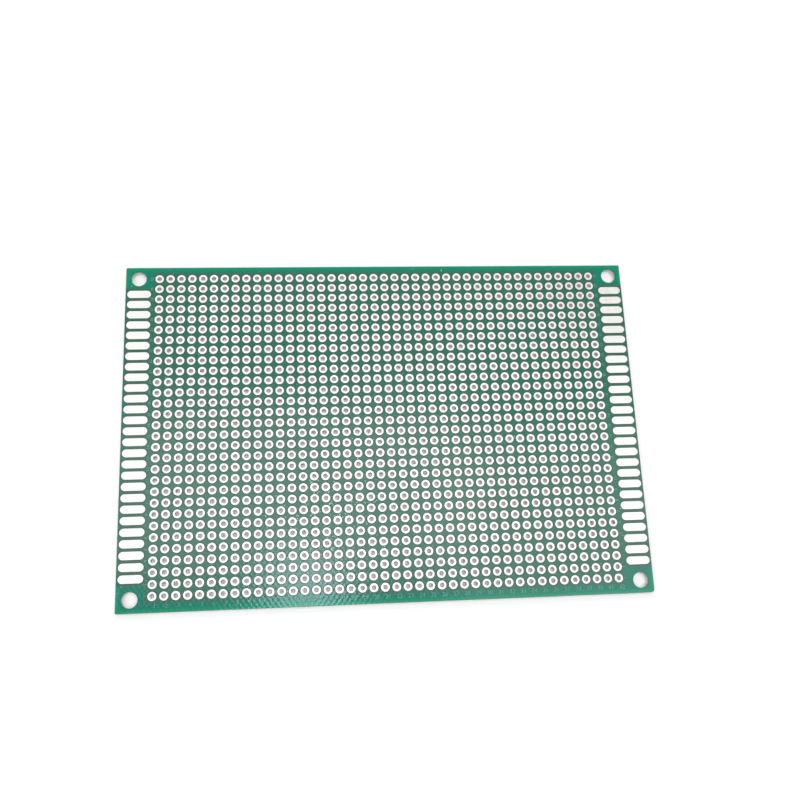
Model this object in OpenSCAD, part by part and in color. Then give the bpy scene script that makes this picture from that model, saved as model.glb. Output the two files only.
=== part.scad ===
// Double-sided prototyping board with plated through-holes on a 2.54 mm grid.
// The board lies flat: +X runs along its length, +Y along its width, +Z out of its upper face.
// The origin is under the centre of the board, on the plane that its lower pads rest on.

/* [Laminate] */
// Length of the board, along X
board_l = 120; // [80:1:160]
// Width of the board, along Y
board_w = 80; // [60:1:100]
// Thickness of the bare glass-fibre core
core_t = 1.5; // [0.8:0.1:3.2]
// Radius of the board's sharp corners
corner_r = 0.3; // [0.1:0.1:2]
// Radius of the front right corner, which is blunted
blunt_corner_r = 0.8; // [0.1:0.1:2]

/* [Mounting holes] */
// Diameter of the plain hole in each corner
mount_d = 3.5; // [2:0.1:4.2]
// From a short edge of the board to the centre of a mounting hole
mount_in_x = 3; // [2.6:0.05:4]
// From a long edge of the board to the centre of a mounting hole
mount_in_y = 2.85; // [2.6:0.05:4]

/* [Plated pads] */
// Distance between neighbouring holes of the grid, in both directions
pitch = 2.54; // [2.4:0.01:5.08]
// Outer diameter of the ring round each hole
pad_d = 1.95; // [1.6:0.05:2.2]
// Finished diameter of each plated hole
bore_d = 1; // [0.7:0.05:1.2]
// Thickness of the plated wall between a hole and the laminate
barrel_t = 0.05; // [0.02:0.01:0.1]
// Height of the tinned copper above the laminate, on pads and edge lands
copper_t = 0.05; // [0.03:0.01:0.1]
// Least distance from a long edge of the board to a pad, before the artwork shift
pad_edge_gap = 1.8; // [1:0.1:4]

/* [Edge lands] */
// Length of an oblong land, along X
land_l = 5.45; // [3:0.05:8]
// Width of an oblong land, along Y
land_w = 1.8; // [1:0.05:2.2]
// Distance between the centres of neighbouring lands
land_pitch = 2.54; // [2.4:0.01:5.08]
// From a short edge of the board to the outer end of a land
land_edge_gap = 0.4; // [0.2:0.05:2]
// Least distance from a land to the nearest column of pads, before the artwork shift
land_pad_gap = 1; // [0.5:0.1:3]
// Least distance from a land to the edge of a mounting hole, before the artwork shift
land_mount_gap = 0.9; // [0.5:0.1:3]

/* [Artwork] */
// How far the pads lie off the middle of the board, along X
art_shift_x = -0.15; // [-0.3:0.05:0.3]
// How far the pads lie off the middle of the board, along Y
art_shift_y = 0.3; // [-0.5:0.05:0.5]

/* [Hidden] */
round_fn = 48;                                  // facets that stand for a true circle
drill_d = bore_d + 2 * barrel_t;                // hole in the laminate, before plating
rim = copper_t;                                 // bevel at each mouth of a plated hole

// How many pitches fit in a length, and the centred row of places that they give
function steps(length, step) = floor(length / step);
function spread(n, step) = [for (i = [0:n - 1]) (i - (n - 1) / 2) * step];

// The outermost pads keep clear of the edge lands, and of the long edges
pad_in_x = land_edge_gap + land_l + land_pad_gap + pad_d / 2;
pad_in_y = pad_edge_gap + pad_d / 2;
cols = steps(board_l - 2 * pad_in_x, pitch) + 1;
rows = steps(board_w - 2 * pad_in_y, pitch) + 1;
col_x = [for (x = spread(cols, pitch)) x + art_shift_x];
row_y = [for (y = spread(rows, pitch)) y + art_shift_y];

// The lands fill the short edges between the mounting holes
land_in_y = mount_in_y + mount_d / 2 + land_mount_gap + land_w / 2;
lands = steps(board_w - 2 * land_in_y, land_pitch) + 1;
land_x = board_l / 2 - land_edge_gap - land_l / 2;
land_y = [for (y = spread(lands, land_pitch)) y + art_shift_y];

mount_x = board_l / 2 - mount_in_x;
mount_y = board_w / 2 - mount_in_y;

// Levels, from the plane that the board rests on
core_z = copper_t;
core_top = core_z + core_t;
total_t = core_top + copper_t;

function two_digits(n) = str(n < 10 ? "0" : "", n);
function row_node(r) = str("eyelet_row_", two_digits(r));
LEFT = -1;
RIGHT = 1;

// What rounding takes off one square corner of the panel
module corner_waste(x, y, r) {
    difference() {
        translate([x * board_l / 2, y * board_w / 2]) square(2 * r, center = true);
        translate([x * (board_l / 2 - r), y * (board_w / 2 - r)])
            circle(r = r, $fn = round_fn);
    }
}

module board_outline() {
    difference() {
        square([board_l, board_w], center = true);
        for (x = [-1, 1], y = [-1, 1])
            corner_waste(x, y, x > 0 && y < 0 ? blunt_corner_r : corner_r);
    }
}

module mounting_holes() {
    for (x = [-mount_x, mount_x], y = [-mount_y, mount_y])
        translate([x, y]) circle(d = mount_d, $fn = round_fn);
}

module at_each_pad() {
    for (x = col_x, y = row_y) translate([x, y]) children();
}

module at_each_land(side) {
    for (y = land_y) translate([side * land_x, y]) children();
}

module oblong(l, w) {
    square([l - w, w], center = true);
    for (x = [-1, 1]) translate([x * (l - w) / 2, 0]) circle(d = w, $fn = round_fn);
}

// Glass-fibre core, green with its mask: one flat panel, drilled for every pad and every screw
module laminate() {
    color("seagreen") translate([0, 0, core_z]) linear_extrude(core_t)
        difference() {
            board_outline();
            mounting_holes();
            at_each_pad() circle(d = drill_d, $fn = round_fn);
        }
}

// Half of an eyelet's section, on +X: a ring on each face and the barrel that joins them
module eyelet_section() {
    bore_r = bore_d / 2;
    polygon([
        [bore_r, rim], [bore_r + rim, 0], [pad_d / 2, 0], [pad_d / 2, core_z],
        [drill_d / 2, core_z], [drill_d / 2, core_top],
        [pad_d / 2, core_top], [pad_d / 2, total_t], [bore_r + rim, total_t],
        [bore_r, total_t - rim]
    ]);
}

// One row of plated holes, each a single tinned copper eyelet through the core
module eyelet_row(r) {
    color("silver")
        for (x = col_x) translate([x, row_y[rows - r], 0])
            rotate_extrude($fn = round_fn) eyelet_section();
}

// The oblong tinned lands along one short edge of one face
module edge_lands(side, z) {
    color("silver") translate([0, 0, z]) linear_extrude(copper_t)
        at_each_land(side) oblong(land_l, land_w);
}

laminate();
edge_lands(LEFT, core_top);  // edge_lands_left_top
edge_lands(LEFT, 0);  // edge_lands_left_bottom
edge_lands(RIGHT, core_top);  // edge_lands_right_top
edge_lands(RIGHT, 0);  // edge_lands_right_bottom
for (r = [1:rows])
    eyelet_row(r);
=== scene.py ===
import math
import bpy
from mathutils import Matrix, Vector


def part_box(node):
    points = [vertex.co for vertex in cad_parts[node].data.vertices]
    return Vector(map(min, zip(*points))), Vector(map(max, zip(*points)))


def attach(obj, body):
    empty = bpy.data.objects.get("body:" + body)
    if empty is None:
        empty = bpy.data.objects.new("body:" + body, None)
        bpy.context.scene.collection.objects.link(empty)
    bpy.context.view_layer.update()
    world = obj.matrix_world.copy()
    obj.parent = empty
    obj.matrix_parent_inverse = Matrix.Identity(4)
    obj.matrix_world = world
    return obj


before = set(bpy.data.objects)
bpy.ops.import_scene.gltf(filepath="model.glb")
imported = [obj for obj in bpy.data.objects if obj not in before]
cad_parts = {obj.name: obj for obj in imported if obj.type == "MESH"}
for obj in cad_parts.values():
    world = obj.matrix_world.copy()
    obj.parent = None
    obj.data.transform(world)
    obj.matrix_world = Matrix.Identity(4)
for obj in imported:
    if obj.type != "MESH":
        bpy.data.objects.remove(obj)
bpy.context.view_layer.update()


# Laminate: the woven glass and epoxy core of the board, sheared to size and drilled. It is bare in a thin
# ring round each pad, on its cut edges and in the four mounting holes. Its bare face is coloured dark
# olive as painted shade in the shallow rings round the pads. The cut edges are paler, because the ends of
# their glass threads are open, and painted shade darkens them towards the upper face.
MM = 0.001
CORE_SHADE_DARK = (0.030, 0.036, 0.020, 1)
CORE_SHADE_LIGHT = (0.065, 0.068, 0.040, 1)
CUT_GLASS = (0.800, 0.790, 0.760, 1)
CUT_RESIN = (0.600, 0.590, 0.540, 1)
CUT_TOP_SHADE = (0.330, 0.350, 0.340, 1)
CORE_ROUGH = 0.42
CUT_ROUGH = 0.72
TOP_SHADE_START = 0.4
WARP_STEP = 0.58 * MM
WEFT_STEP = 0.82 * MM
PLY = 0.19 * MM
CLOTH_DRIFT = 220.0
RESIN_CLOTS = 2600.0
THREAD_ENDS = 4200.0
PLY_SHARE = 0.25
BUMP_DEPTH = 0.02 * MM

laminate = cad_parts["laminate"]
laminate_lo, laminate_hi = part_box("laminate")
board = laminate_hi - laminate_lo


def new_tree(name):
    material = bpy.data.materials.new(name)
    material.use_nodes = True
    return material, material.node_tree, material.node_tree.nodes["Principled BSDF"]


def plug_in(tree, socket, value):
    """Gives a socket its value, which is either another node's output or a plain number."""
    if isinstance(value, bpy.types.NodeSocket):
        tree.links.new(value, socket)
    else:
        socket.default_value = value


def add_node(tree, kind, settings=None, **inputs):
    """A new node. An input is named as its socket is, or i and its number where names repeat."""
    made = tree.nodes.new("ShaderNode" + kind)
    for name, value in (settings or {}).items():
        setattr(made, name, value)
    for name, value in inputs.items():
        numbered = name[0] == "i" and name[1:].isdigit()
        plug_in(tree, made.inputs[int(name[1:]) if numbered else name], value)
    return made


def maths(tree, operation, *values):
    made = add_node(tree, "Math", {"operation": operation},
                    **{f"i{n}": value for n, value in enumerate(values)})
    return made.outputs[0]


def blend_colours(tree, share, first, second):
    made = add_node(tree, "Mix", {"data_type": "RGBA"}, i0=share, i6=first, i7=second)
    return made.outputs[2]


def remap(tree, value, low, high, to_low=0.0, to_high=1.0):
    made = add_node(tree, "MapRange", i0=value, i1=low, i2=high, i3=to_low, i4=to_high)
    return made.outputs[0]


def new_group(name, takes, gives):
    tree = bpy.data.node_groups.new(name, "ShaderNodeTree")
    for label, kind in takes:
        tree.interface.new_socket(label, in_out="INPUT", socket_type="NodeSocket" + kind)
    for label, kind in gives:
        tree.interface.new_socket(label, in_out="OUTPUT", socket_type="NodeSocket" + kind)
    return tree, tree.nodes.new("NodeGroupInput").outputs, tree.nodes.new("NodeGroupOutput").inputs


def place_group(tree, group, **inputs):
    made = tree.nodes.new("ShaderNodeGroup")
    made.node_tree = group
    for name, value in inputs.items():
        plug_in(tree, made.inputs[name], value)
    return made.outputs


def weave_group():
    """The print of the glass cloth: crossing threads that rise and fall in turn."""
    tree, takes, gives = new_group(
        "glass_cloth", [("Place", "Vector")], [("Height", "Float"), ("Resin", "Float")])
    drift = add_node(tree, "TexNoise", Vector=takes["Place"], Scale=CLOTH_DRIFT, Detail=2.0)
    axes = add_node(tree, "SeparateXYZ", Vector=takes["Place"])
    warp = maths(tree, "MULTIPLY_ADD", axes.outputs[0], math.pi / WARP_STEP, drift.outputs[0])
    weft = maths(tree, "MULTIPLY_ADD", axes.outputs[1], math.pi / WEFT_STEP, drift.outputs[0])
    crossing = maths(tree, "MULTIPLY", maths(tree, "SINE", warp), maths(tree, "SINE", weft))
    clots = add_node(tree, "TexNoise", Vector=takes["Place"], Scale=RESIN_CLOTS, Detail=3.0,
                     Roughness=0.6)
    tree.links.new(crossing, gives["Height"])
    tree.links.new(clots.outputs[0], gives["Resin"])
    return tree


glass_cloth = weave_group()


def laminate_material():
    material, tree, surface = new_tree("bare_laminate")
    place = add_node(tree, "TexCoord").outputs["Object"]
    cloth = place_group(tree, glass_cloth, Place=place)
    # Painted shade: the bare face is coloured dark olive, standing in for shade in the shallow rings
    # round the pads.
    face = blend_colours(tree, cloth["Resin"], CORE_SHADE_DARK, CORE_SHADE_LIGHT)
    axes = add_node(tree, "SeparateXYZ", Vector=place)
    plies = maths(tree, "SINE", maths(tree, "MULTIPLY", axes.outputs[2], 2 * math.pi / PLY))
    stretched = add_node(tree, "Mapping", Vector=place, Scale=(1.0, 1.0, 4.0))
    ends = add_node(tree, "TexNoise", Vector=stretched.outputs[0], Scale=THREAD_ENDS, Detail=3.0)
    threads = maths(tree, "MULTIPLY_ADD", plies, PLY_SHARE, ends.outputs[0])
    clean = blend_colours(tree, threads, CUT_RESIN, CUT_GLASS)
    # Painted shade: the cut walls are coloured darker towards the upper face.
    top_shade = remap(tree, axes.outputs[2], laminate_lo.z + TOP_SHADE_START * board.z, laminate_hi.z)
    cut = blend_colours(tree, top_shade, clean, CUT_TOP_SHADE)
    normal = add_node(tree, "SeparateXYZ", Vector=add_node(tree, "NewGeometry").outputs["Normal"])
    upright = maths(tree, "LESS_THAN", maths(tree, "ABSOLUTE", normal.outputs[2]), 0.5)
    tree.links.new(blend_colours(tree, upright, face, cut), surface.inputs["Base Color"])
    tree.links.new(remap(tree, upright, 0.0, 1.0, CORE_ROUGH, CUT_ROUGH), surface.inputs["Roughness"])
    bump = add_node(tree, "Bump", Strength=0.35, Distance=BUMP_DEPTH, Height=threads)
    tree.links.new(bump.outputs[0], surface.inputs["Normal"])
    return material


def finish_with(obj, material):
    obj.data.materials.clear()
    obj.data.materials.append(material)


finish_with(laminate, laminate_material())


# Plated holes: 1260 eyelets of copper plated through the drilled holes, levelled with hot solder. It
# leaves a soft satin skin, thinnest at the rim of the hole and duller inside the barrel. The skin is
# tinted warm and pinkish in patches along the rear edge, most at the rear right corner.
TIN_BRIGHT = (0.838, 0.864, 0.850, 1)
TIN_DULL = (0.788, 0.814, 0.800, 1)
TIN_BARREL = (0.825, 0.780, 0.785, 1)
TIN_ROUGH = (0.52, 0.62)
CHANCE_SHARE = 0.3
SOLDER_GRAIN = 900.0
WARM_TINT = (0.720, 0.630, 0.610, 1)
WARM_TINT_PATCHES = 700.0
REAR_BAND = (0.22, 0.45)
REAR_BLOOM = 0.22
CORNER_BLOOM = 0.35
CORNER_BLOOM_REACH = 6
BARREL_FADE = (1.1, 1.01)

eyelet_rows = [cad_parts[name] for name in sorted(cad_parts)
               if name.startswith("eyelet_row_")]
row_lo, row_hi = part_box(eyelet_rows[0].name)
last_lo, last_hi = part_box(eyelet_rows[-1].name)
pad_d = row_hi.y - row_lo.y
pitch = (row_hi.y - last_hi.y) / (len(eyelet_rows) - 1)
columns = round((row_hi.x - row_lo.x - pad_d) / pitch) + 1
first_pad = Vector((row_lo.x + pad_d / 2, last_lo.y + pad_d / 2, 0))
BORE_R = 0.5 * MM


def nearest_in_row(tree, coordinate, first, step, count):
    """For a row of places, the number of the one nearest to a coordinate, and how far past it lies."""
    steps = maths(tree, "MULTIPLY_ADD", coordinate, 1 / step, 0.5 - first / step)
    whole = maths(tree, "FLOOR", steps)
    number = maths(tree, "MINIMUM", maths(tree, "MAXIMUM", whole, 0.0), count - 1.0)
    past = maths(tree, "MULTIPLY_ADD", maths(tree, "SUBTRACT", steps, number), step, -0.5 * step)
    return number, past


def length_of(tree, x, y):
    return maths(tree, "SQRT", maths(tree, "MULTIPLY_ADD", x, x, maths(tree, "MULTIPLY", y, y)))


def eyelet_group():
    """Where a point lies by its nearest eyelet: how far from the hole's axis, and a chance value."""
    tree, takes, gives = new_group(
        "eyelet_place", [("Place", "Vector")], [("Radius", "Float"), ("Chance", "Float")])
    axes = add_node(tree, "SeparateXYZ", Vector=takes["Place"])
    column, right = nearest_in_row(tree, axes.outputs[0], first_pad.x, pitch, columns)
    row, up = nearest_in_row(tree, axes.outputs[1], first_pad.y, pitch, len(eyelet_rows))
    number = add_node(tree, "CombineXYZ", X=column, Y=row)
    chance = add_node(tree, "TexWhiteNoise", {"noise_dimensions": "2D"}, Vector=number.outputs[0])
    tree.links.new(length_of(tree, right, up), gives["Radius"])
    tree.links.new(chance.outputs["Value"], gives["Chance"])
    return tree


def solder_group():
    """The skin that hot-air levelling leaves: slow waves with fine grain, and duller patches."""
    tree, takes, gives = new_group(
        "solder_skin", [("Place", "Vector")], [("Height", "Float"), ("Dull", "Float")])
    waves = add_node(tree, "TexNoise", Vector=takes["Place"], Scale=SOLDER_GRAIN, Detail=2.0)
    grain = add_node(tree, "TexNoise", Vector=takes["Place"], Scale=9 * SOLDER_GRAIN, Detail=3.0)
    height = maths(tree, "MULTIPLY_ADD", grain.outputs[0], 0.15, waves.outputs[0])
    dull = add_node(tree, "TexNoise", Vector=takes["Place"], Scale=0.35 * SOLDER_GRAIN, Detail=4.0,
                    Roughness=0.65)
    tree.links.new(height, gives["Height"])
    tree.links.new(remap(tree, dull.outputs[0], 0.35, 0.65), gives["Dull"])
    return tree


def tarnish_group():
    """A warm, pinkish tint in patches on the solder near the rear edge, strongest at the rear right
    corner.
    """
    tree, takes, gives = new_group("rear_tint", [("Place", "Vector")], [("Bloom", "Float")])
    axes = add_node(tree, "SeparateXYZ", Vector=takes["Place"])
    x, y = axes.outputs[0], axes.outputs[1]
    rear = remap(tree, y, *(board.y * share for share in REAR_BAND), 0.0, REAR_BLOOM)
    away = length_of(tree, maths(tree, "SUBTRACT", x, row_hi.x), maths(tree, "SUBTRACT", y, row_lo.y))
    corner = remap(tree, away, CORNER_BLOOM_REACH * pitch, pitch, 0.0, CORNER_BLOOM)
    patches = add_node(tree, "TexNoise", Vector=takes["Place"], Scale=WARM_TINT_PATCHES, Detail=3.0,
                       Roughness=0.7)
    amount = remap(tree, patches.outputs[0], 0.38, 0.62, 0.25, 1.0)
    tree.links.new(maths(tree, "MULTIPLY", maths(tree, "ADD", rear, corner), amount), gives["Bloom"])
    return tree


eyelet_place = eyelet_group()
solder_skin = solder_group()
rear_tint = tarnish_group()


def tin_material():
    material, tree, surface = new_tree("levelled_tin")
    surface.inputs["Metallic"].default_value = 1.0
    place = add_node(tree, "TexCoord").outputs["Object"]
    skin = place_group(tree, solder_skin, Place=place)
    eyelet = place_group(tree, eyelet_place, Place=place)
    dull = maths(tree, "MULTIPLY", skin["Dull"], 1 - CHANCE_SHARE)
    uneven = maths(tree, "MULTIPLY_ADD", eyelet["Chance"], CHANCE_SHARE, dull)
    face = blend_colours(tree, uneven, TIN_BRIGHT, TIN_DULL)
    face = blend_colours(tree, place_group(tree, rear_tint, Place=place)["Bloom"], face, WARM_TINT)
    inside = remap(tree, eyelet["Radius"], *(BORE_R * share for share in BARREL_FADE))
    tree.links.new(blend_colours(tree, inside, face, TIN_BARREL), surface.inputs["Base Color"])
    tree.links.new(remap(tree, uneven, 0.0, 1.0, *TIN_ROUGH), surface.inputs["Roughness"])
    bump = add_node(tree, "Bump", Strength=0.30, Distance=BUMP_DEPTH, Height=skin["Height"])
    tree.links.new(bump.outputs[0], surface.inputs["Normal"])
    return material


tin = tin_material()
for eyelet_row in eyelet_rows:
    finish_with(eyelet_row, tin)


# Edge lands: oblong solder lands down both short edges of both faces, for soldering wires or combs.
# They are the same levelled tin as the pads, but the air knife has drawn it out along their length.
LANDS = 27
LAND_W = 1.8 * MM
LAND_BRIGHT = (0.866, 0.866, 0.838, 1)
LAND_DULL = (0.816, 0.816, 0.788, 1)
LAND_ROUGH = (0.50, 0.60)
DRAWN_OUT = (0.3, 1.0, 1.0)

land_nodes = [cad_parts[name] for name in sorted(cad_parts)
              if name.startswith("edge_lands_")]


def land_material():
    material, tree, surface = new_tree("drawn_tin")
    surface.inputs["Metallic"].default_value = 1.0
    place = add_node(tree, "TexCoord").outputs["Object"]
    drawn = add_node(tree, "Mapping", Vector=place, Scale=DRAWN_OUT)
    skin = place_group(tree, solder_skin, Place=drawn.outputs[0])
    face = blend_colours(tree, skin["Dull"], LAND_BRIGHT, LAND_DULL)
    face = blend_colours(tree, place_group(tree, rear_tint, Place=place)["Bloom"], face, WARM_TINT)
    tree.links.new(face, surface.inputs["Base Color"])
    tree.links.new(remap(tree, skin["Dull"], 0.0, 1.0, *LAND_ROUGH), surface.inputs["Roughness"])
    bump = add_node(tree, "Bump", Strength=0.35, Distance=BUMP_DEPTH, Height=skin["Height"])
    tree.links.new(bump.outputs[0], surface.inputs["Normal"])
    return material


land_tin = land_material()
for land_node in land_nodes:
    finish_with(land_node, land_tin)


# Solder mask: a film of green, light-cured lacquer on each face. It stops short of every pad, land and
# mounting hole, so the copper stands in a shallow moat. The laminate's cloth prints through it. Pale
# specks on the upper film are painted glints, most of them left of the middle near the front, and the
# lacquer is coloured darker towards the front edge as painted shade.
FILM_T = 0.03 * MM
PAD_MOAT = 0.18 * MM
LAND_MOAT = 0.20 * MM
MOUNT_MOAT = 0.05 * MM
MOUNT_D = 3.5 * MM
MOUNT_IN = Vector((3.0, 2.85, 0)) * MM
EDGE_INSET = 0.05 * MM
CORNER_R = 0.3 * MM
BLUNT_CORNER_R = 0.8 * MM
PAD_SIDES = 30
NEARLY_ROUND = 0.999
MOUNT_SIDES = 48
CORNER_STEPS = 4
BLUNT_CORNER_STEPS = 8
CUTTER_DEPTH = 4
MASK_GREEN = (0.004, 0.226, 0.140, 1)
MASK_DEEP = (0.004, 0.196, 0.123, 1)
MASK_THIN = (0.006, 0.310, 0.150, 1)
MASK_FRONT_SHADE = (0.004, 0.180, 0.126, 1)
MASK_SHADED = (0.032, 0.155, 0.106, 1)
MASK_ROUGH = (0.09, 0.16)
MASK_FLOW = 90.0
MASK_SPECKS = 3000.0
PEEL_DEPTH = 0.010 * MM
THIN_RIM = 1.5 * MM
SHADE_FROM = 1.15 * MM
SHADE_FULL = 0.40 * MM
PAINTED_GLINT = (0.460, 0.630, 0.500, 1)
GLINT_CELLS = 2200.0
GLINT_PATCHES = 500.0
GLINT_GAIN = 0.18
GLINT_SHOWS = (0.58, 0.77)
GRAIN_SIZE = 0.40
GLINT_SPOT = Vector((-13.0, -20.0, 0)) * MM
GLINT_REACH = 22.0 * MM


def deselect_all():
    for obj in bpy.context.selected_objects:
        obj.select_set(False)


def make_active(obj):
    deselect_all()
    obj.select_set(True)
    bpy.context.view_layer.objects.active = obj


def settle(obj, name):
    """Names a new object and puts its place, turn and size into its mesh."""
    obj.name = name
    obj.data.name = name
    make_active(obj)
    bpy.ops.object.transform_apply(location=True, rotation=True, scale=True)
    return obj


def new_block(name, centre, size):
    deselect_all()
    bpy.ops.mesh.primitive_cube_add(size=1, location=centre, scale=size)
    return settle(bpy.context.object, name)


def apply_modifier(obj, kind, **settings):
    make_active(obj)
    modifier = obj.modifiers.new(kind.lower(), kind)
    for name, value in settings.items():
        setattr(modifier, name, value)
    bpy.ops.object.modifier_apply(modifier=modifier.name)


def repeat(obj, count, offset):
    apply_modifier(obj, "ARRAY", count=count, use_relative_offset=False, use_constant_offset=True,
                   constant_offset_displace=offset)


def round_upright_edges(obj, radius, segments, wanted=lambda place: True):
    """Bevels the edges that stand along Z, where their place passes the test wanted."""
    make_active(obj)
    bpy.ops.object.mode_set(mode="EDIT")
    bpy.ops.mesh.select_all(action="DESELECT")
    bpy.ops.mesh.select_mode(type="EDGE")
    bpy.ops.object.mode_set(mode="OBJECT")
    points = obj.data.vertices
    for edge in obj.data.edges:
        a, b = (points[n].co for n in edge.vertices)
        edge.select = (a - b).xy.length < MM * 1e-3 and wanted(a)
    bpy.ops.object.mode_set(mode="EDIT")
    bpy.ops.mesh.bevel(offset=radius, segments=segments, affect="EDGES")
    bpy.ops.object.mode_set(mode="OBJECT")


def mask_openings(low, high):
    """Cutters for every opening of one film: round pads, oblong lands and mounting holes."""
    middle, depth = (low + high) / 2, (high - low) * CUTTER_DEPTH
    opening_r = pad_d / 2 + PAD_MOAT
    deselect_all()
    bpy.ops.mesh.primitive_cylinder_add(vertices=PAD_SIDES, radius=opening_r, depth=depth,
                                        location=(first_pad.x, first_pad.y, middle))
    cutters = [settle(bpy.context.object, "pad_openings")]
    repeat(cutters[0], columns, (pitch, 0, 0))
    repeat(cutters[0], len(eyelet_rows), (0, pitch, 0))
    for node in ("edge_lands_left_top", "edge_lands_right_top"):
        lo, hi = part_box(node)
        land_pitch = (hi.y - lo.y - LAND_W) / (LANDS - 1)
        size = Vector((hi.x - lo.x + 2 * LAND_MOAT, LAND_W + 2 * LAND_MOAT, depth))
        land = new_block("land_openings", ((lo.x + hi.x) / 2, lo.y + LAND_W / 2, middle), size)
        round_upright_edges(land, size.y / 2 * NEARLY_ROUND, PAD_SIDES // 4)
        repeat(land, LANDS, (0, land_pitch, 0))
        cutters.append(land)
    for side in (-1, 1):
        for end in (-1, 1):
            deselect_all()
            bpy.ops.mesh.primitive_cylinder_add(
                vertices=MOUNT_SIDES, radius=MOUNT_D / 2 + MOUNT_MOAT, depth=depth,
                location=(side * (board.x / 2 - MOUNT_IN.x), end * (board.y / 2 - MOUNT_IN.y), middle))
            cutters.append(settle(bpy.context.object, "mount_opening"))
    make_active(cutters[0])
    for cutter in cutters:
        cutter.select_set(True)
    bpy.ops.object.join()
    return cutters[0]


def at_blunt_corner(place):
    return place.x > 0 > place.y


def mask_film(low, high):
    film = new_block("mask_top", ((laminate_lo.x + laminate_hi.x) / 2,
                                  (laminate_lo.y + laminate_hi.y) / 2, (low + high) / 2),
                     (board.x - 2 * EDGE_INSET, board.y - 2 * EDGE_INSET, high - low))
    round_upright_edges(film, BLUNT_CORNER_R, BLUNT_CORNER_STEPS, at_blunt_corner)
    round_upright_edges(film, CORNER_R, CORNER_STEPS, lambda place: not at_blunt_corner(place))
    cutters = mask_openings(low, high)
    apply_modifier(film, "BOOLEAN", operation="DIFFERENCE", object=cutters, solver="MANIFOLD")
    bpy.data.objects.remove(cutters)
    return film


def distance_outside(tree, x, y, low, high):
    """How far a point lies outside an upright rectangle; inside it the distance is negative."""
    sides = []
    for value, least, most in ((x, low.x, high.x), (y, low.y, high.y)):
        off = maths(tree, "ABSOLUTE", maths(tree, "SUBTRACT", value, (least + most) / 2))
        sides.append(maths(tree, "SUBTRACT", off, (most - least) / 2))
    return maths(tree, "MAXIMUM", *sides)


def artwork_group():
    """How far a point of the mask lies outside the field of pads and the two columns of lands."""
    tree, takes, gives = new_group("artwork_gap", [("Place", "Vector")], [("Gap", "Float")])
    axes = add_node(tree, "SeparateXYZ", Vector=takes["Place"])
    x, y = axes.outputs[0], axes.outputs[1]
    pad_gap = distance_outside(tree, x, y, last_lo, row_hi)
    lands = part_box("edge_lands_right_top")
    land_gap = distance_outside(tree, maths(tree, "ABSOLUTE", x), y, *lands)
    tree.links.new(maths(tree, "MINIMUM", pad_gap, land_gap), gives["Gap"])
    return tree


def mask_material():
    material, tree, surface = new_tree("green_solder_mask")
    surface.inputs["IOR"].default_value = 1.55
    surface.inputs["Specular IOR Level"].default_value = 0.25
    place = add_node(tree, "TexCoord").outputs["Object"]
    cloth = place_group(tree, glass_cloth, Place=place)
    flow = add_node(tree, "TexNoise", Vector=place, Scale=MASK_FLOW, Detail=3.0, Roughness=0.6)
    pooled = maths(tree, "MULTIPLY_ADD", cloth["Height"], 0.10, flow.outputs[0])
    ink = blend_colours(tree, remap(tree, pooled, 0.30, 0.70), MASK_GREEN, MASK_DEEP)
    axes = add_node(tree, "SeparateXYZ", Vector=place)
    # Painted shade: the lacquer is coloured darker towards the front edge.
    front = remap(tree, axes.outputs[1], 0.0, -board.y / 2)
    ink = blend_colours(tree, front, ink, MASK_FRONT_SHADE)
    gaps = [maths(tree, "SUBTRACT", half, maths(tree, "ABSOLUTE", axes.outputs[axis]))
            for axis, half in ((0, board.x / 2), (1, board.y / 2))]
    edge = remap(tree, maths(tree, "MINIMUM", *gaps), THIN_RIM, 0.0)
    rimmed = blend_colours(tree, maths(tree, "MULTIPLY", edge, edge), ink, MASK_THIN)
    artwork = place_group(tree, artwork_group(), Place=place)
    shade = remap(tree, artwork["Gap"], SHADE_FROM, SHADE_FULL)
    ink = blend_colours(tree, shade, rimmed, MASK_SHADED)
    # Painted glints: pale specks, gathered left of the middle near the front, stand in for sparkle of the
    # lamps.
    glint_dots = add_node(tree, "TexVoronoi", Vector=place, Scale=GLINT_CELLS)
    glint_spread = add_node(tree, "TexNoise", Vector=place, Scale=GLINT_PATCHES, Detail=3.0, Roughness=0.7)
    away = length_of(tree, maths(tree, "SUBTRACT", axes.outputs[0], GLINT_SPOT.x),
                     maths(tree, "SUBTRACT", axes.outputs[1], GLINT_SPOT.y))
    glint_chance = maths(tree, "ADD", remap(tree, away, 0.0, GLINT_REACH, GLINT_GAIN, 0.0), glint_spread.outputs[0])
    upper = maths(tree, "GREATER_THAN", axes.outputs[2], board.z / 2)
    reach = maths(tree, "MULTIPLY", upper, remap(tree, glint_chance, *GLINT_SHOWS, 0.0, GRAIN_SIZE))
    painted_glints = maths(tree, "LESS_THAN", glint_dots.outputs["Distance"], reach)
    tree.links.new(blend_colours(tree, painted_glints, ink, PAINTED_GLINT), surface.inputs["Base Color"])
    specks = add_node(tree, "TexNoise", Vector=place, Scale=MASK_SPECKS, Detail=3.0, Roughness=0.7)
    tree.links.new(remap(tree, specks.outputs[0], 0.3, 0.7, *MASK_ROUGH), surface.inputs["Roughness"])
    peel = maths(tree, "MULTIPLY_ADD", specks.outputs[0], 0.5, cloth["Height"])
    bump = add_node(tree, "Bump", Strength=0.5, Distance=PEEL_DEPTH, Height=peel)
    tree.links.new(bump.outputs[0], surface.inputs["Normal"])
    return material


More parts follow.
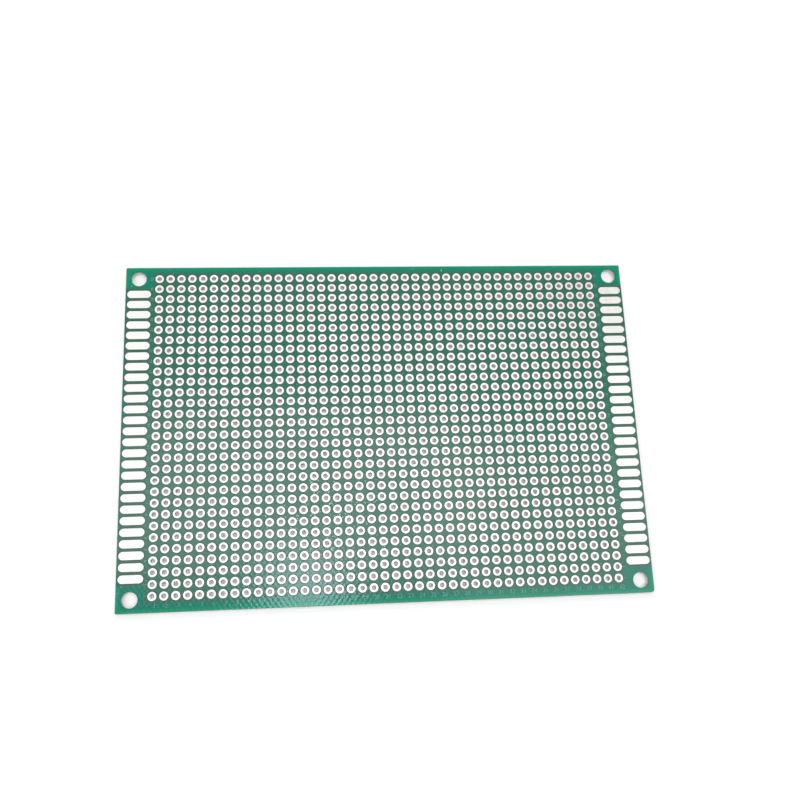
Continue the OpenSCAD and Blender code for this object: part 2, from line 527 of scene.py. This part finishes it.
mask_top = mask_film(laminate_hi.z, laminate_hi.z + FILM_T)
finish_with(mask_top, mask_material())
mask_bottom = mask_top.copy()
mask_bottom.data = mask_top.data.copy()
mask_bottom.name = mask_bottom.data.name = "mask_bottom"
bpy.context.collection.objects.link(mask_bottom)
make_active(mask_bottom)
bpy.ops.transform.translate(value=(0, 0, -(board.z + FILM_T)))
bpy.ops.object.transform_apply(location=True)
for film in (mask_top, mask_bottom):
    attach(film, "root")


# Legend: plain numbers in thin, pale ink, printed on the mask of the upper face only. The columns are
# numbered along the front edge, and the rows beside the lands at both ends, to be read from the right.
INK_T = 0.010 * MM
COLUMN_NUMBER_SIZE = 1.35 * MM
ROW_NUMBER_SIZE = 0.95 * MM
COLUMN_NUMBER_SHIFT = Vector((0.60, -2.05, 0)) * MM
ROW_NUMBER_GAP = 0.62 * MM
INK_FULL = (0.110, 0.420, 0.310, 1)
INK_WORN = (0.020, 0.250, 0.170, 1)
INK_SPECKS = 1500.0
INK_PATCHES = 60.0
INK_RELIEF = 0.004 * MM

legend_z = laminate_hi.z + FILM_T


def new_number(number):
    """A number of unit size in thin relief, centred on the origin."""
    deselect_all()
    bpy.ops.object.text_add(location=(0, 0, 0))
    text = bpy.context.object
    text.data.body = str(number)
    text.data.align_x = "CENTER"
    text.data.align_y = "CENTER"
    text.data.resolution_u = 2
    text.data.extrude = 0.5
    bpy.ops.object.convert(target="MESH")
    return bpy.context.object


def print_number(number, place, size, turn=0.0):
    printed = number.copy()
    printed.data = number.data.copy()
    bpy.context.collection.objects.link(printed)
    printed.location = place
    printed.rotation_euler = (0, 0, turn)
    printed.scale = (size, size, INK_T)
    return settle(printed, "print")


def legend_material():
    material, tree, surface = new_tree("legend_ink")
    place = add_node(tree, "TexCoord").outputs["Object"]
    wear = add_node(tree, "TexNoise", Vector=place, Scale=INK_SPECKS, Detail=3.0, Roughness=0.7)
    patches = add_node(tree, "TexNoise", Vector=place, Scale=INK_PATCHES, Detail=2.0)
    worn = maths(tree, "MULTIPLY", wear.outputs[0], 0.7)
    thin = maths(tree, "MULTIPLY_ADD", patches.outputs[0], 0.6, worn)
    ink = blend_colours(tree, remap(tree, thin, 0.5, 0.8), INK_FULL, INK_WORN)
    tree.links.new(ink, surface.inputs["Base Color"])
    surface.inputs["Roughness"].default_value = 0.5
    bump = add_node(tree, "Bump", Strength=0.3, Distance=INK_RELIEF, Height=wear.outputs[0])
    tree.links.new(bump.outputs[0], surface.inputs["Normal"])
    return material


numbers = [new_number(n) for n in range(1, columns + 1)]
prints = []
for n, number in enumerate(numbers):
    place = first_pad + COLUMN_NUMBER_SHIFT + Vector((n * pitch, 0, legend_z))
    prints.append(print_number(number, place, COLUMN_NUMBER_SIZE))
for side, edge_pad in ((-1, first_pad.x), (1, first_pad.x + (columns - 1) * pitch)):
    for n, number in enumerate(numbers[:len(eyelet_rows)]):
        place = (edge_pad + side * (pad_d / 2 + ROW_NUMBER_GAP), first_pad.y + n * pitch, legend_z)
        prints.append(print_number(number, place, ROW_NUMBER_SIZE, math.pi / 2))
for number in numbers:
    bpy.data.objects.remove(number)
make_active(prints[0])
for printed in prints:
    printed.select_set(True)
bpy.ops.object.join()
legend = prints[0]
legend.name = legend.data.name = "legend"
finish_with(legend, legend_material())
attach(legend, "root")


# Studio: a white sweep under a white sky. The sky looks evenly white to the camera, and mirrors see it
# white near the horizon. The sweep looks white too, but its glow is held back under the board and beside
# its edges as painted shadow, and partly comes back in the mounting holes as painted light. Soft lamps
# stand overhead, in front and behind. A broad window and a small one mirror in the lacquer, as the haze
# over its front half and the bright patch at its front edge.
CAMERA_PLACE = (-0.0167, -0.0467, 0.2061)
CAMERA_TURN = [math.radians(a) for a in (14.71, -5.05, -2.49)]
CAMERA_FIELD = math.radians(47.69)
FLOOR_SIZE = 3.0
FLOOR_DROP = 0.02 * MM
FLOOR_PAINT = (0.90, 0.90, 0.90, 1)
SHADOW_REACH = 2.2 * MM
GLOW_NEAR = 0.13
MOUNT_PAINTED_LIGHT = 0.10
GLOW_FADE = (0.15, 0.60)
AMBIENT = 0.46
BACKDROP_TOP = (0.45, 0.15)


def soft_lamp(name, place, size, radiance, shape="RECTANGLE", tint=(1, 1, 1)):
    """A lamp that faces the board, of the given width, depth and brightness."""
    lamp = bpy.data.lights.new(name, "AREA")
    lamp.shape = shape
    lamp.size, lamp.size_y = size
    area = size[0] * size[1] * (math.pi / 4 if shape == "ELLIPSE" else 1.0)
    lamp.energy = radiance * math.pi * area
    lamp.color = tint
    holder = bpy.data.objects.new(name, lamp)
    holder.location = place
    holder.rotation_euler = Vector((0, 0, 1)).rotation_difference(Vector(place)).to_euler()
    bpy.context.collection.objects.link(holder)


def rays_that_see(tree):
    """Two masks: the camera's own rays, and the rays that metal mirrors or glass lets through."""
    ray = add_node(tree, "LightPath").outputs
    mirrored = maths(tree, "MAXIMUM", ray["Is Glossy Ray"], ray["Is Transmission Ray"])
    return ray["Is Camera Ray"], mirrored


deselect_all()
bpy.ops.mesh.primitive_plane_add(size=FLOOR_SIZE, location=(0, 0, -FLOOR_DROP))
floor = settle(bpy.context.object, "floor")
floor_paint, floor_tree, floor_surface = new_tree("white_sweep")
floor_surface.inputs["Base Color"].default_value = FLOOR_PAINT
floor_surface.inputs["Roughness"].default_value = 0.8
floor_surface.inputs["Emission Color"].default_value = (1, 1, 1, 1)
seen = maths(floor_tree, "MAXIMUM", *rays_that_see(floor_tree))
floor_place = add_node(floor_tree, "TexCoord").outputs["Object"]
floor_axes = add_node(floor_tree, "SeparateXYZ", Vector=floor_place)
floor_x, floor_y = floor_axes.outputs[0], floor_axes.outputs[1]
clear = distance_outside(floor_tree, floor_x, floor_y, laminate_lo, laminate_hi)
mount_gap = length_of(floor_tree, *[
    maths(floor_tree, "SUBTRACT", maths(floor_tree, "ABSOLUTE", value), half - inset)
    for value, half, inset in ((floor_x, board.x / 2, MOUNT_IN.x), (floor_y, board.y / 2, MOUNT_IN.y))])
# Painted light: the floor seen through the mounting holes glows, though the board stands over it.
mount_painted_light = remap(floor_tree, mount_gap, MOUNT_D / 2, MOUNT_D / 4, 0.0, MOUNT_PAINTED_LIGHT)
# Painted shadow: the glow is held back under the board and fades in over SHADOW_REACH beyond its edges.
beside_board = remap(floor_tree, clear, 0.0, SHADOW_REACH, 0.0, GLOW_NEAR)
far_away = remap(floor_tree, clear, *GLOW_FADE)
glow = maths(floor_tree, "ADD", maths(floor_tree, "MAXIMUM", mount_painted_light, beside_board), far_away)
glow = maths(floor_tree, "MULTIPLY", seen, glow)
floor_tree.links.new(glow, floor_surface.inputs["Emission Strength"])
finish_with(floor, floor_paint)

world = bpy.data.worlds.new("studio")
bpy.context.scene.world = world
world.use_nodes = True
sky = world.node_tree.nodes["Background"]
sky.inputs["Color"].default_value = (1, 1, 1, 1)
sky_tree = world.node_tree
to_camera, mirrored = rays_that_see(sky_tree)
sky_place = add_node(sky_tree, "TexCoord").outputs["Generated"]
sky_axes = add_node(sky_tree, "SeparateXYZ", Vector=sky_place)
backdrop = maths(sky_tree, "MULTIPLY", mirrored, remap(sky_tree, sky_axes.outputs[2], *BACKDROP_TOP))
sky_seen = maths(sky_tree, "MAXIMUM", to_camera, backdrop)
sky_tree.links.new(remap(sky_tree, sky_seen, 0.0, 1.0, AMBIENT, 1.0), sky.inputs["Strength"])

soft_lamp("overhead_softbox", (0.300, -0.01, 0.65), (0.40, 0.31), 2.2)
soft_lamp("front_softbox", (-0.22, -0.335, 0.60), (0.90, 0.43), 1.42)
soft_lamp("rear_softbox", (-0.20, 0.55, 0.45), (0.70, 0.35), 1.8)
soft_lamp("small_window", (-0.026, -0.004, 0.64), (0.070, 0.07), 13.5, "ELLIPSE", tint=(0.74, 1, 1.12))
soft_lamp("broad_window", (-0.035, 0.085, 0.64), (0.34, 0.16), 2.9)

camera = bpy.data.objects.new("camera", bpy.data.cameras.new("camera"))
camera.location = CAMERA_PLACE
camera.rotation_euler = CAMERA_TURN
camera.data.angle = CAMERA_FIELD
camera.data.clip_start = 0.01
camera.data.clip_end = 10
bpy.context.collection.objects.link(camera)
bpy.context.scene.camera = camera
bpy.context.scene.view_settings.view_transform = "Standard"
